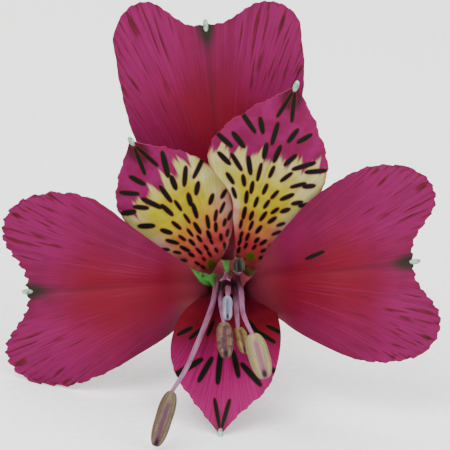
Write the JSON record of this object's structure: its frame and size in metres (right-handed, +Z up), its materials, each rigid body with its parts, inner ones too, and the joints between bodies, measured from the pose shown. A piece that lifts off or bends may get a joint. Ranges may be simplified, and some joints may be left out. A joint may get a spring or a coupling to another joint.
{
  "type": "cut peruvian lily flower",
  "caption": "Open magenta Peruvian lily flower with notched outer tepals, yellow blotched inner tepals, drooping stamens and a short cut stalk, lying on its lower side.",
  "frame": {"origin": "centre of the footprint, on the surface that the flower lies on", "axes": "+Z up; the open face looks towards -Y and a little up; +X is to the right of the face as it is looked at"},
  "size_m": [0.0634, 0.0704, 0.055],
  "materials": {
    "green_stalk": "fresh waxy green stalk and ribbed ovary",
    "green_leaf": "thin satin bract",
    "outer_tepal_skin": "soft satin petal skin, magenta with a crimson centre",
    "inner_tepal_skin": "soft satin petal skin, magenta tip, yellow blotch and near-black dashes",
    "filament_skin": "smooth moist mauve stalk",
    "anther_skin": "dry matt pollen sac"
  },
  "bodies": {
    "root": {"pedicel": "green_stalk", "ovary": "green_stalk", "bract": "green_leaf", "outer_tepal_top": "outer_tepal_skin", "outer_tepal_left": "outer_tepal_skin", "outer_tepal_right": "outer_tepal_skin", "inner_tepal_left": "inner_tepal_skin", "inner_tepal_right": "inner_tepal_skin", "inner_tepal_lower": "inner_tepal_skin", "filament_1": "filament_skin", "anther_1": "anther_skin", "filament_2": "filament_skin", "anther_2": "anther_skin", "filament_3": "filament_skin", "anther_3": "anther_skin", "filament_4": "filament_skin", "anther_4": "anther_skin", "filament_5": "filament_skin", "anther_5": "anther_skin", "filament_6": "filament_skin", "anther_6": "anther_skin", "style": "filament_skin"}
  },
  "joints": []
}
